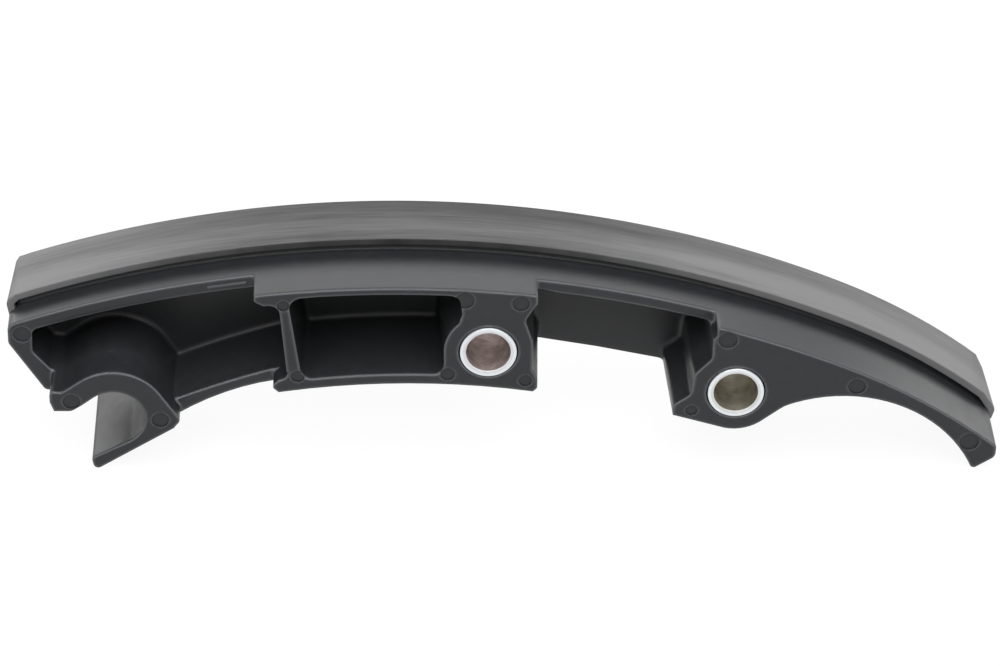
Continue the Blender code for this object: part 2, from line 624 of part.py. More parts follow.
def makeCarrier(material):
    body = prism("support_body", envelopeOutline(), 0.0, BODY_DEPTH)
    bedFront = SHOE_FRONT + SHOE_OVERHANG
    bedRear = SHOE_FRONT + SHOE_WIDTH - SHOE_OVERHANG
    behind = BODY_DEPTH + CUT_OVERRUN
    cut(body, prism("cut_front_ledge", ledgeOutline(), -CUT_OVERRUN, bedFront))
    cut(body, prism("cut_rear_ledge", ledgeOutline(), bedRear, behind))
    cut(body, prism("cut_shoe_seat", seatOutline(), SHOE_FRONT - SEAT_GAP, behind))
    cut(body, prism("cut_left_recess", leftRecessOutline(), -CUT_OVERRUN, LEFT_RECESS))
    cut(body, prism("cut_rail_recess", railRecessOutline(), -CUT_OVERRUN, RAIL_RECESS))
    cut(body, prism("cut_gap_recess", gapRecessOutline(), -CUT_OVERRUN, GAP_RECESS))
    cutPocket(body, "pocket_one", pocketOneOutline(), HOOK_POCKET_DRAFT_DEG)
    cutPocket(body, "pocket_two", pocketTwoOutline(), POCKET_DRAFT_DEG)
    cutPocket(body, "boss_gap", gapOutline(), POCKET_DRAFT_DEG)
    cut(body, prism("cut_tail_core", tailCoreOutline(), TAIL_SKIN, behind, TAIL_CORE_TAPER))
    boreRadius = SLEEVE_OUTER_RADIUS + BORE_CLEARANCE
    cut(body, cylinder("cut_middle_bore", MIDDLE_BORE, boreRadius, -CUT_OVERRUN, behind))
    cut(body, cylinder("cut_end_bore", END_BORE, boreRadius, -CUT_OVERRUN, behind))
    body.data.materials.append(material)
    return body


def makeSleeve(name, bore, material, count=48):
    """Turned tube with a chamfer inside each mouth, slightly proud of the boss."""
    front = -SLEEVE_PROUD
    rear = BODY_DEPTH + SLEEVE_PROUD
    section = [(SLEEVE_INNER_RADIUS, front + SLEEVE_CHAMFER), (SLEEVE_INNER_RADIUS + SLEEVE_CHAMFER, front)]
    section += [(SLEEVE_OUTER_RADIUS, front), (SLEEVE_OUTER_RADIUS, rear)]
    section += [(SLEEVE_INNER_RADIUS + SLEEVE_CHAMFER, rear), (SLEEVE_INNER_RADIUS, rear - SLEEVE_CHAMFER)]
    mesh = bpy.data.meshes.new(name)
    build = bmesh.new()
    rings = []
    for i in range(count):
        angle = 2 * math.pi * i / count
        rings.append([build.verts.new((r * math.cos(angle), y, r * math.sin(angle))) for r, y in section])
    for i in range(count):
        here = rings[i]
        there = rings[(i + 1) % count]
        for k in range(len(section)):
            n = (k + 1) % len(section)
            build.faces.new((here[k], here[n], there[n], there[k]))
    bmesh.ops.recalc_face_normals(build, faces=build.faces[:])
    build.to_mesh(mesh)
    build.free()
    mesh.shade_smooth()
    mesh.set_sharp_from_angle(angle=math.radians(30))
    item = bpy.data.objects.new(name, mesh)
    item.location = (bore[0], 0.0, bore[1])
    bpy.context.scene.collection.objects.link(item)
    mesh.materials.append(material)
    return item


def main():
    removeAll()
    nylon = makeMaterial("black_glass_filled_nylon", (0.035, 0.036, 0.038), 0.45, 0.0)
    smoothNylon = makeMaterial("dark_grey_nylon", (0.09, 0.09, 0.092), 0.38, 0.0)
    steel = makeMaterial("zinc_plated_steel", (0.72, 0.74, 0.76), 0.28, 1.0)

    root = bpy.data.objects.new("guide_frame", None)
    bpy.context.scene.collection.objects.link(root)
    makeCarrier(nylon)
    makeShoe(smoothNylon)
    makeSleeve("middle_sleeve", MIDDLE_BORE, steel)
    makeSleeve("end_sleeve", END_BORE, steel)

    # centre the guide over its own footprint, standing on its lowest point
    bpy.context.view_layer.update()
    graph = bpy.context.evaluated_depsgraph_get()
    low = Vector((1e9, 1e9, 1e9))
    high = -low
    solids = [o for o in bpy.data.objects if o.type == "MESH" and not o.hide_render]
    for item in solids:
        mesh = item.evaluated_get(graph).to_mesh()
        for vertex in mesh.vertices:
            place = item.matrix_world @ vertex.co
            for axis in range(3):
                low[axis] = min(low[axis], place[axis])
                high[axis] = max(high[axis], place[axis])
    for item in bpy.data.objects:
        if item.type == "MESH":
            item.parent = root
    root.location = (-(low.x + high.x) / 2, -(low.y + high.y) / 2, -low.z)
    bpy.context.view_layer.update()


main()
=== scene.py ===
import math

import bmesh
import bpy
from mathutils import Matrix, Vector


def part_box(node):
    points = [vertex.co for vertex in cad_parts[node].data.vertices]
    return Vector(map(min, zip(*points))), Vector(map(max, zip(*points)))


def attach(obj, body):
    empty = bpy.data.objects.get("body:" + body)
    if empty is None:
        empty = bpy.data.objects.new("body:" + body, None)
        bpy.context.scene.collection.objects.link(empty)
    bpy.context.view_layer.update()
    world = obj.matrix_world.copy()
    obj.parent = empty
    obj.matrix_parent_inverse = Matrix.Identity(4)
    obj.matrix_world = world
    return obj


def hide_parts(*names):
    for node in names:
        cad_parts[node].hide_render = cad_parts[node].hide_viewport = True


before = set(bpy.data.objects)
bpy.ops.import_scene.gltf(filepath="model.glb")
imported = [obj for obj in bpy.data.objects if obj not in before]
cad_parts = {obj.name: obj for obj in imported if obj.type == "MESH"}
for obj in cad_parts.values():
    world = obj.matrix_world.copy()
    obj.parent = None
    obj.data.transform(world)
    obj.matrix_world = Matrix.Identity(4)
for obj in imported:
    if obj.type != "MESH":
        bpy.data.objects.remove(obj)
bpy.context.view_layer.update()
print("frame loaded:", sorted(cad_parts))

mm = 0.001
scene = bpy.context.scene
boreHeight = 26.9  # mm from the tips up to the middle bore's axis

# the middle sleeve and the carrier's face are read from the frame, so the layout follows it
sleeveLow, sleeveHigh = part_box("middle_sleeve")
shoeLow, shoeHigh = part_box("sliding_shoe")
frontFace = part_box("support_body")[0].y
origin = Vector((
    (sleeveLow.x + sleeveHigh.x) / 2, frontFace,
    (sleeveLow.z + sleeveHigh.z) / 2 - boreHeight * mm))


def place(x, y, z):
    return origin + Vector((x, y, z)) * mm


def hexToLinear(code):
    channels = []
    for i in (1, 3, 5):
        value = int(code[i:i + 2], 16) / 255
        channels.append(value / 12.92 if value <= 0.04045 else ((value + 0.055) / 1.055) ** 2.4)
    return (channels[0], channels[1], channels[2], 1.0)


def addNode(tree, kind, settings=None, inputs=None):
    # one node with its settings, and each input either linked to a socket or given a value
    node = tree.nodes.new(kind)
    for name, value in (settings or {}).items():
        setattr(node, name, value)
    for key, value in (inputs or {}).items():
        socket = node.inputs[key]
        if isinstance(value, bpy.types.NodeSocket):
            tree.links.new(value, socket)
        else:
            socket.default_value = value
    return node


# the four kinds of node that repeat, each giving the socket that holds its result

def calc(tree, operation, *values):
    node = addNode(tree, "ShaderNodeMath", {"operation": operation}, dict(enumerate(values)))
    return node.outputs[0]


def span(tree, value, start, end, low=0.0, high=1.0, kind="LINEAR"):
    node = addNode(tree, "ShaderNodeMapRange", {"interpolation_type": kind}, {
        "Value": value, "From Min": start, "From Max": end, "To Min": low, "To Max": high})
    return node.outputs["Result"]


def noise(tree, where, size, detail, roughness=0.5):
    node = addNode(tree, "ShaderNodeTexNoise", inputs={
        "Vector": where, "Scale": 1 / (size * mm), "Detail": detail, "Roughness": roughness})
    return node.outputs["Fac"]


def blend(tree, share, one, two):
    node = addNode(tree, "ShaderNodeMix", {"data_type": "RGBA"}, {"Factor": share, 6: one, 7: two})
    return node.outputs[2]


def newMaterial(name):
    material = bpy.data.materials.new(name)
    material.use_nodes = True
    tree = material.node_tree
    tree.nodes.clear()
    return material, tree


def finish(tree, shader):
    addNode(tree, "ShaderNodeOutputMaterial", inputs={"Surface": shader.outputs[0]})


def addObject(name, data):
    item = bpy.data.objects.new(name, data)
    scene.collection.objects.link(item)
    return item


def bake(item):
    # the evaluated result as a plain mesh, with the modifiers gone
    graph = bpy.context.evaluated_depsgraph_get()
    graph.update()
    mesh = bpy.data.meshes.new_from_object(
        item.evaluated_get(graph), preserve_all_data_layers=True, depsgraph=graph)
    old = item.data
    item.modifiers.clear()
    item.data = mesh
    mesh.name = item.name
    if old.users == 0:
        bpy.data.meshes.remove(old)
    return item


def dropObject(item):
    mesh = item.data
    bpy.data.objects.remove(item)
    bpy.data.meshes.remove(mesh)


def newTree(name, sizes):
    # a Geometry Nodes tree with a mesh in, a mesh out and its named sizes
    tree = bpy.data.node_groups.new(name, "GeometryNodeTree")
    tree.interface.new_socket("Mesh", in_out="INPUT", socket_type="NodeSocketGeometry")
    for label in sizes:
        tree.interface.new_socket(label, in_out="INPUT", socket_type="NodeSocketFloat")
    tree.interface.new_socket("Mesh", in_out="OUTPUT", socket_type="NodeSocketGeometry")
    return tree, addNode(tree, "NodeGroupInput").outputs


def closeTree(tree, geometry, material):
    real = addNode(tree, "GeometryNodeRealizeInstances", inputs={"Geometry": geometry})
    done = addNode(tree, "GeometryNodeSetMaterial", inputs={
        "Geometry": real.outputs[0], "Material": material})
    addNode(tree, "NodeGroupOutput", inputs={0: done.outputs[0]})
    return tree


def useTree(item, tree, sizes):
    # the tree as a modifier, with each size set by its socket's identifier
    modifier = item.modifiers.new(tree.name, "NODES")
    modifier.node_group = tree
    for socket in tree.interface.items_tree:
        if socket.item_type == "SOCKET" and socket.in_out == "INPUT" and socket.name in sizes:
            modifier[socket.identifier] = sizes[socket.name]


def storeNumbers(mesh, name, domain, numbers):
    mesh.attributes.new(name, "FLOAT", domain).data.foreach_set("value", numbers)


def storedNumber(tree, name):
    node = addNode(tree, "GeometryNodeInputNamedAttribute", {"data_type": "FLOAT"}, {"Name": name})
    return node.outputs["Attribute"]


def smooth(item, degrees):
    item.data.shade_smooth()
    item.data.set_sharp_from_angle(angle=math.radians(degrees))


def evenNormals(item):
    # big faces keep their own direction, and the rounds between them carry the turn
    even = item.modifiers.new("evenNormals", "WEIGHTED_NORMAL")
    even.keep_sharp = True
    bake(item)


def turnOutwards(build):
    # a swept shell can come out inside out, which its volume tells
    if build.calc_volume(signed=True) < 0:
        bmesh.ops.reverse_faces(build, faces=build.faces[:])
    return round(build.calc_volume(signed=True) / mm ** 3)


cameraValues = {
    "azimuth": -2.4464,  # degrees round the guide, from straight ahead
    "elevation": 33.292,
    "roll": 1.3551,
    "distance": 821.29,  # mm
    "target": (2.160, 0.0, 31.302),
    "lens": 153.52,  # mm
    "sensor": 36.0,  # mm
    "near": 0.01,  # metres
    "far": 20.0,
}


def makeCamera(values):
    azimuth = math.radians(values["azimuth"])
    elevation = math.radians(values["elevation"])
    roll = math.radians(values["roll"])
    back = Vector((
        math.sin(azimuth) * math.cos(elevation),
        -math.cos(azimuth) * math.cos(elevation),
        math.sin(elevation)))
    level = Vector((0, 0, 1)).cross(back).normalized()
    upward = back.cross(level)
    right = level * math.cos(roll) + upward * math.sin(roll)
    up = upward * math.cos(roll) - level * math.sin(roll)
    data = bpy.data.cameras.new("studioCamera")
    data.sensor_width = values["sensor"]
    data.lens = values["lens"]
    data.clip_start = values["near"]
    data.clip_end = values["far"]
    item = addObject("studioCamera", data)
    turn = Matrix((right, up, back)).transposed().to_4x4()
    turn.translation = place(*values["target"]) + back * values["distance"] * mm
    item.matrix_world = turn
    scene.camera = item


makeCamera(cameraValues)
print("camera placed")


nylonCarrierValues = {
    "dark": "#1C1D1F",
    "light": "#252628",
    "mottle": 2.1,  # mm
    "grain": 0.35,  # mm, glass fibre drawn a little coarse so that it shows
    "grainHeight": 0.1,  # mm
    "grainStrength": 0.12,
    "roughness": 0.36,
    "smoother": 0.03,  # how far the mottle takes the roughness down and up
    "rougher": 0.04,
    "sheen": 0.35,  # 0.5 is a fully closed skin, and the fibres open it a little
    "rim": "#585B5E",  # painted highlight on the rounded edges, standing in for the light they catch
    "highlightStart": 0.985,  # cosine between the rounded and the flat face where that begins
    "highlightFull": 0.8,
    "highlightAbove": 0.3,  # the share of it on faces that look up
    "edgeRound": 1.3,  # mm, how far every moulded edge and inner corner softens
    "markRound": 0.05,  # mm, the same in the pin marks, which are crisp
    "seat": 17.0,  # mm behind the front face, the middle of the rims in the shoe's shade, which get no painted highlight
    "seatHalf": 3.6,  # mm each side of that without the painted highlight
    "seatFade": 1.0,
}


def glassFilledNylonMoulded(values):
    # polyamide with glass fibre, injection moulded: nearly black, satin, with a faint mottle
    # and a fine fibre grain, and a painted highlight where an edge is rounded
    material, tree = newMaterial("glassFilledNylonMoulded")
    where = addNode(tree, "ShaderNodeTexCoord").outputs["Object"]
    mottle = noise(tree, where, values["mottle"], 3.0, 0.6)
    grain = noise(tree, where, values["grain"], 2.0)
    colour = blend(tree, mottle, hexToLinear(values["dark"]), hexToLinear(values["light"]))

    # rounded edges: the bevelled normal gives the shape, its turn from the flat one the painted
    # highlight
    crisp = addNode(tree, "ShaderNodeAttribute", {"attribute_name": "pinMark"}).outputs["Fac"]
    reach = span(tree, crisp, 0.0, 1.0, values["edgeRound"] * mm, values["markRound"] * mm)
    soft = addNode(tree, "ShaderNodeBevel", {"samples": 8}, {"Radius": reach}).outputs["Normal"]
    flat = addNode(tree, "ShaderNodeNewGeometry").outputs["Normal"]
    agree = addNode(tree, "ShaderNodeVectorMath", {"operation": "DOT_PRODUCT"}, {0: soft, 1: flat})
    edge = span(
        tree, agree.outputs["Value"], values["highlightStart"], values["highlightFull"], kind="SMOOTHSTEP")

    # the painted highlight is left off the rims in the shoe's shade behind the front face, and
    # mostly off those that look up
    depth = addNode(tree, "ShaderNodeSeparateXYZ", inputs={0: where}).outputs["Y"]
    fromSeat = calc(tree, "ABSOLUTE", calc(
        tree, "SUBTRACT", depth, place(0, values["seat"], 0).y))
    clear = span(
        tree, fromSeat, values["seatHalf"] * mm, (values["seatHalf"] + values["seatFade"]) * mm)
    height = addNode(tree, "ShaderNodeSeparateXYZ", inputs={0: flat}).outputs["Z"]
    sideways = span(tree, height, 0.5, 0.9, 1.0, values["highlightAbove"])
    edgeHighlightShare = calc(tree, "MULTIPLY", edge, calc(tree, "MULTIPLY", clear, sideways))
    # the base colour with the painted edge highlight mixed in
    skin = blend(tree, edgeHighlightShare, colour, hexToLinear(values["rim"]))

    bump = addNode(tree, "ShaderNodeBump", inputs={
        "Height": grain, "Strength": values["grainStrength"],
        "Distance": values["grainHeight"] * mm, "Normal": soft})
    rough = span(
        tree, mottle, 0.3, 0.7,
        values["roughness"] - values["smoother"], values["roughness"] + values["rougher"])
    shader = addNode(tree, "ShaderNodeBsdfPrincipled", inputs={
        "Base Color": skin, "Roughness": rough, "Normal": bump.outputs["Normal"],
        "IOR": 1.5, "Specular IOR Level": values["sheen"]})
    finish(tree, shader)
    return material


nylonShoeValues = {
    "dark": "#131314",
    "light": "#5C5C5D",
    "band": 5.0,  # mm, width of the flow bands across the strip
    "bandShare": 0.9,
    "streak": 0.5,  # mm, drawn coarser than the real flow lines so that they show
    "streakShare": 0.6,
    "streakHeight": 0.1,  # mm
    "streakStrength": 0.08,
    "along": 0.05,  # how much slower both change along the strip than across it
    "front": 3.0,  # mm behind the strip's front edge where the pale side starts to fade
    "frontFade": 7.0,  # mm over which it does
    "frontShare": 0.4,
    "frontMiddle": 0.35,  # how much of that shows at mid length, and how fast it grows
    "frontGrowth": 1.3,
    "leastHighlightAt": -14.0,  # mm along the guide where the painted highlight is least
    "noHighlightRun": 15.0,  # mm each side of that without painted highlight
    "fullHighlightRun": 85.0,  # mm from it where the painted highlight is full
    "endHighlightShare": 0.5,
    "darkAt": 0.66,  # the sum of all shares at which the strip is dark, then light
    "lightAt": 1.55,
    "roughness": 0.5,
    "smoother": 0.04,
    "rougher": 0.06,
    "sheen": 0.4,
}


def wearNylonMoulded(values):
    # unfilled wear-grade polyamide, moulded and a little glossy: flow bands and fine streaks
    # run along it; it is lighter towards its front edge, and a painted highlight lightens it
    # towards each end
    material, tree = newMaterial("wearNylonMoulded")
    where = addNode(tree, "ShaderNodeTexCoord").outputs["Object"]
    drawn = addNode(tree, "ShaderNodeMapping", inputs={
        "Vector": where, "Scale": (values["along"], 1.0, values["along"])}).outputs["Vector"]
    streaks = noise(tree, drawn, values["streak"], 3.0)
    bands = noise(tree, drawn, values["band"], 2.0)
    spot = addNode(tree, "ShaderNodeSeparateXYZ", inputs={0: where})
    # painted highlight growing towards each end of the strip, none in its middle
    fromLeastHighlight = calc(tree, "ABSOLUTE", calc(
        tree, "SUBTRACT", spot.outputs["X"], place(values["leastHighlightAt"], 0, 0).x))
    endHighlight = span(
        tree, fromLeastHighlight, values["noHighlightRun"] * mm, values["fullHighlightRun"] * mm,
        0.0, values["endHighlightShare"], "SMOOTHSTEP")
    # lighter towards the front edge, more so where the painted highlight is
    front = shoeLow.y + values["front"] * mm
    side = span(
        tree, spot.outputs["Y"], front, front + values["frontFade"] * mm,
        values["frontShare"], 0.0, "SMOOTHSTEP")
    side = calc(tree, "MULTIPLY", side, calc(
        tree, "MULTIPLY_ADD", endHighlight, values["frontGrowth"], values["frontMiddle"]))
    pale = calc(tree, "ADD", calc(tree, "MULTIPLY_ADD", bands, values["bandShare"], side), endHighlight)
    pale = calc(tree, "MULTIPLY_ADD", streaks, values["streakShare"], pale)
    share = span(tree, pale, values["darkAt"], values["lightAt"])
    colour = blend(tree, share, hexToLinear(values["dark"]), hexToLinear(values["light"]))
    bump = addNode(tree, "ShaderNodeBump", inputs={
        "Height": streaks, "Strength": values["streakStrength"],
        "Distance": values["streakHeight"] * mm})
    rough = span(
        tree, share, 0.0, 1.0,
        values["roughness"] - values["smoother"], values["roughness"] + values["rougher"])
    shader = addNode(tree, "ShaderNodeBsdfPrincipled", inputs={
        "Base Color": colour, "Roughness": rough, "Normal": bump.outputs["Normal"],
        "IOR": 1.5, "Specular IOR Level": values["sheen"]})
    finish(tree, shader)
    return material


steelValues = {
    "plate": "#E6EAED",
    "bore": "#F0E7E2",
    "boreDark": "#A99C9C",
    "roughness": 0.5,
    "turning": 0.5,  # mm between tool marks, drawn coarser than real so that they show
    "turningShare": 0.3,  # how much of the bore's tone follows them
    "turningHeight": 0.05,  # mm
    "turningStrength": 0.25,
    "stain": 2.222,  # mm, patches of oil film
    "stainDark": 0.4,  # the sum of film and tool marks at which the bore is dark, then light
    "stainLight": 1.05,
}

# the film in the end sleeve has dried to a yellower tone
endSteelValues = dict(steelValues, bore="#DAD6CA", boreDark="#A29D90")


def turnedZincPlatedSteel(values):
    # turned tube with thin zinc plate: bright outside, while the plate hardly reaches the
    # bore, which keeps its brown oil tone and the rings from the tool
    material, tree = newMaterial("turnedZincPlatedSteel")
    waveLength = 0.314  # a wave texture of scale 1 repeats after this many metres
    where = addNode(tree, "ShaderNodeTexCoord").outputs["Object"]
    rings = addNode(tree, "ShaderNodeTexWave", {"wave_type": "BANDS", "bands_direction": "Y"}, {
        "Vector": where, "Scale": waveLength / (values["turning"] * mm), "Distortion": 0.9,
        "Detail": 2.0, "Detail Scale": 3.0}).outputs["Fac"]
    bump = addNode(tree, "ShaderNodeBump", inputs={
        "Height": rings, "Strength": values["turningStrength"],
        "Distance": values["turningHeight"] * mm})
    film = calc(
        tree, "MULTIPLY_ADD", rings, values["turningShare"],
        noise(tree, where, values["stain"], 3.0))
    shade = span(tree, film, values["stainDark"], values["stainLight"])
    brown = blend(tree, shade, hexToLinear(values["boreDark"]), hexToLinear(values["bore"]))
    inside = addNode(tree, "ShaderNodeAttribute", {"attribute_name": "boreWall"}).outputs["Fac"]
    shader = addNode(tree, "ShaderNodeBsdfPrincipled", inputs={
        "Base Color": blend(tree, inside, hexToLinear(values["plate"]), brown),
        "Metallic": 1.0, "Roughness": values["roughness"], "Normal": bump.outputs["Normal"]})
    finish(tree, shader)
    return material


carrierNylon = glassFilledNylonMoulded(nylonCarrierValues)
shoeNylon = wearNylonMoulded(nylonShoeValues)
sleeveSteel = turnedZincPlatedSteel(steelValues)
endSleeveSteel = turnedZincPlatedSteel(endSteelValues)
print("materials made")


carrierValues = {
    "markDepth": 0.32,  # mm
    "markCorners": 32,
    # ejector marks on the faces: x, face depth, z, radius
    "marks": [
        (-80.7, 0.0, 15.3, 1.7), (-63.6, 0.0, 11.0, 1.7), (-39.5, 0.0, 37.4, 1.2),
        (-36.8, 0.0, 21.2, 1.35), (-4.7, 0.0, 38.7, 1.85), (6.1, 0.0, 38.0, 1.7),
        (-7.8, 0.0, 21.7, 1.45), (7.3, 0.0, 20.2, 1.3), (46.3, 0.0, 29.6, 1.85),
        (39.9, 0.0, 13.2, 1.2), (72.0, 0.0, 18.8, 1.75), (95.0, 0.0, 5.7, 1.95),
        (-90.3, 7.5, 26.0, 1.75),
    ],
    # raised moulding beads: radius, then points as x, y, z
    "beads": [
        (0.22, [(-58.0, 7.0, 13.25), (-50.6, 7.0, 16.4), (-43.1, 7.0, 19.1)]),
        (0.5, [(-54.2, 7.8, 36.75), (-46.7, 7.8, 37.9)]),
    ],
    "beadCorners": 12,
}


def ejectorMarks(values):
    # cutters for the shallow pin marks: one short drum on each point, half in the face
    marks = values["marks"]
    mesh = bpy.data.meshes.new("ejectorMarks")
    mesh.from_pydata([place(x, y, z) for x, y, z, radius in marks], [], [])
    storeNumbers(mesh, "markRadius", "POINT", [radius * mm for x, y, z, radius in marks])
    item = addObject("ejectorMarks", mesh)
    tree, size = newTree("pinMarkDrums", ["Mark Depth"])
    drum = addNode(tree, "GeometryNodeMeshCylinder", inputs={
        "Vertices": values["markCorners"], "Radius": 1.0,
        "Depth": calc(tree, "MULTIPLY", size["Mark Depth"], 2.0)})
    radius = storedNumber(tree, "markRadius")
    scale = addNode(tree, "ShaderNodeCombineXYZ", inputs={"X": radius, "Y": radius, "Z": 1.0})
    drums = addNode(tree, "GeometryNodeInstanceOnPoints", inputs={
        "Points": size["Mesh"], "Instance": drum.outputs["Mesh"],
        "Rotation": (math.pi / 2, 0.0, 0.0), "Scale": scale.outputs[0]})
    closeTree(tree, drums.outputs["Instances"], carrierNylon)
    useTree(item, tree, {"Mark Depth": values["markDepth"] * mm})
    return bake(item)


def mouldingBeads(values):
    # thin round ridges swept along their paths, half sunk in the wall
    points = []
    edges = []
    radii = []
    for radius, path in values["beads"]:
        for i, spot in enumerate(path):
            if i:
                edges.append((len(points) - 1, len(points)))
            points.append(place(*spot))
            radii.append(radius * mm)
    mesh = bpy.data.meshes.new("mouldingBeads")
    mesh.from_pydata(points, edges, [])
    storeNumbers(mesh, "beadRadius", "POINT", radii)
    item = addObject("mouldingBeads", mesh)
    tree, size = newTree("mouldingBeads", ["Roundness"])
    path = addNode(tree, "GeometryNodeMeshToCurve", inputs={"Mesh": size["Mesh"]})
    ring = addNode(tree, "GeometryNodeCurvePrimitiveCircle", inputs={
        "Resolution": values["beadCorners"], "Radius": size["Roundness"]})
    rod = addNode(tree, "GeometryNodeCurveToMesh", inputs={
        "Curve": path.outputs["Curve"], "Profile Curve": ring.outputs["Curve"],
        "Fill Caps": True, "Scale": storedNumber(tree, "beadRadius")})
    closeTree(tree, rod.outputs["Mesh"], carrierNylon)
    useTree(item, tree, {"Roundness": 1.0})
    bake(item)
    smooth(item, 40)
    return item


def makeCarrier(values):
    # the CAD moulding with its loose triangles merged into whole faces, and the pin marks cut in
    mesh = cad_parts["support_body"].data.copy()
    piece = addObject("carrierMoulding", mesh)
    build = bmesh.new()
    build.from_mesh(mesh)
    bmesh.ops.remove_doubles(build, verts=build.verts[:], dist=1e-6)
    bmesh.ops.dissolve_limit(
        build, angle_limit=math.radians(0.05), verts=build.verts[:], edges=build.edges[:])
    build.to_mesh(mesh)
    build.free()
    # the copy's stored corner normals belong to the loose triangles
    if "custom_normal" in mesh.attributes:
        mesh.attributes.remove(mesh.attributes["custom_normal"])
    mesh.materials.clear()
    mesh.materials.append(carrierNylon)
    for polygon in mesh.polygons:
        polygon.material_index = 0

    cutters = ejectorMarks(values)
    dent = piece.modifiers.new("pinMarks", "BOOLEAN")
    dent.operation = "DIFFERENCE"
    dent.solver = "EXACT"
    dent.object = cutters
    bake(piece)
    dropObject(cutters)
    smooth(piece, 35)
    evenNormals(piece)
    piece.data.materials.clear()
    piece.data.materials.append(carrierNylon)

    # the faces of the marks, for the material: a little slack round and below each one
    slack = 1.05
    onFace = 0.02  # mm, shallower than this is the carrier's own face
    crisp = [0.0] * len(piece.data.polygons)
    for i, face in enumerate(piece.data.polygons):
        at = (face.center - origin) / mm
        for x, y, z, radius in values["marks"]:
            deep = onFace < at.y - y < slack * values["markDepth"]
            if deep and math.hypot(at.x - x, at.z - z) < slack * radius:
                crisp[i] = 1.0
    storeNumbers(piece.data, "pinMark", "FACE", crisp)
    print("carrier:", len(piece.data.polygons), "faces")
    return piece


carrier = makeCarrier(carrierValues)
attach(carrier, "root")
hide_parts("support_body")

beads = mouldingBeads(carrierValues)
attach(beads, "root")
print("beads:", len(beads.data.polygons), "faces")


shoeValues = {
    "thickness": 1.5,  # mm
    "runRadius": 219.3,
    "runApex": -17.7,
    "tailBreak": 70.0,
    "tailRadius": 131.0,
    "leftEnd": -93.7,
    "rightEnd": 102.0,
    "leftReach": 1.8,  # how far the run stops short of each end
    "rightReach": 2.5,
    "leftShoulder": 1.7,  # how far the slope between run and lip drops
    "rightShoulder": 3.9,
    "leftLip": 3.9,
    "rightLip": 2.4,
    "toeIn": 0.7,
    "leftThinning": 0.95,
    "rightThinning": 0.7,
    "shoulderRound": 1.8,
    "shoulderSteps": 6,
    "edgeRound": 0.22,
    "step": 2.5,  # mm along the running surface
}


def runHeight(values, x):
    # the running surface below its crown: a long arc, then a tighter one over the tail
    radius = values["runRadius"]
    if x <= values["tailBreak"]:
        return math.sqrt(radius ** 2 - (x - values["runApex"]) ** 2) - radius
    lean = (values["tailBreak"] - values["runApex"]) / radius
    tailX = values["tailBreak"] - values["tailRadius"] * lean
    tailZ = (radius - values["tailRadius"]) * math.sqrt(1 - lean ** 2) - radius
    return tailZ + math.sqrt(values["tailRadius"] ** 2 - (x - tailX) ** 2)


def roundPath(corners, radii, steps):
    # an open path with an arc of its own radius at each inner corner
    points = [corners[0]]
    for i in range(1, len(corners) - 1):
        here = Vector(corners[i])
        if radii[i] <= 0:
            points.append(tuple(here))
            continue
        before = Vector(corners[i - 1]) - here
        after = Vector(corners[i + 1]) - here
        turn = math.pi - before.angle(after)
        reach = radii[i] * math.tan(turn / 2)
        middle = (before.normalized() + after.normalized()).normalized()
        centre = here + middle * math.hypot(radii[i], reach)
        first = here + before.normalized() * reach - centre
        side = 1 if before.x * after.y - before.y * after.x < 0 else -1
        start = math.atan2(first.y, first.x)
        for k in range(steps + 1):
            angle = start + side * turn * k / steps
            points.append((
                centre.x + radii[i] * math.cos(angle), centre.y + radii[i] * math.sin(angle)))
    points.append(corners[-1])
    return points


def offsetPath(points, distance):
    # every stretch of an open path moved sideways by the same distance
    moved = []
    for i, point in enumerate(points):
        here = Vector(point)
        last = Vector(points[i - 1]) if i else here * 2 - Vector(points[1])
        following = Vector(points[i + 1]) if i < len(points) - 1 else here * 2 - last
        one = (here - last).normalized()
        two = (following - here).normalized()
        sideOne = Vector((one.y, -one.x))
        sideTwo = Vector((two.y, -two.x))
        reach = distance / (1 + sideOne.dot(sideTwo))
        moved.append(tuple(here + (sideOne + sideTwo) * reach))
    return moved


def shoePath(values):
    # inside face of the shoe, from the tip of its left lip over the run to that of its right lip
    leftEnd = values["leftEnd"]
    rightEnd = values["rightEnd"]
    left = leftEnd + values["leftReach"]
    right = rightEnd - values["rightReach"]
    leftZ = runHeight(values, left)
    rightZ = runHeight(values, right)
    leftLow = leftZ - values["leftShoulder"]
    rightLow = rightZ - values["rightShoulder"]
    corners = [
        (leftEnd + values["toeIn"], leftLow - values["leftLip"]), (leftEnd, leftLow), (left, leftZ)]
    count = round((right - left) / values["step"])
    for i in range(1, count):
        x = left + (right - left) * i / count
        corners.append((x, runHeight(values, x)))
    corners += [
        (right, rightZ), (rightEnd, rightLow),
        (rightEnd - values["toeIn"], rightLow - values["rightLip"])]
    inner = offsetPath(corners, values["thickness"])
    radii = [0.0] * len(inner)
    radii[1] = radii[-2] = values["shoulderRound"] - values["thickness"]
    return roundPath(inner, radii, values["shoulderSteps"]), left, right


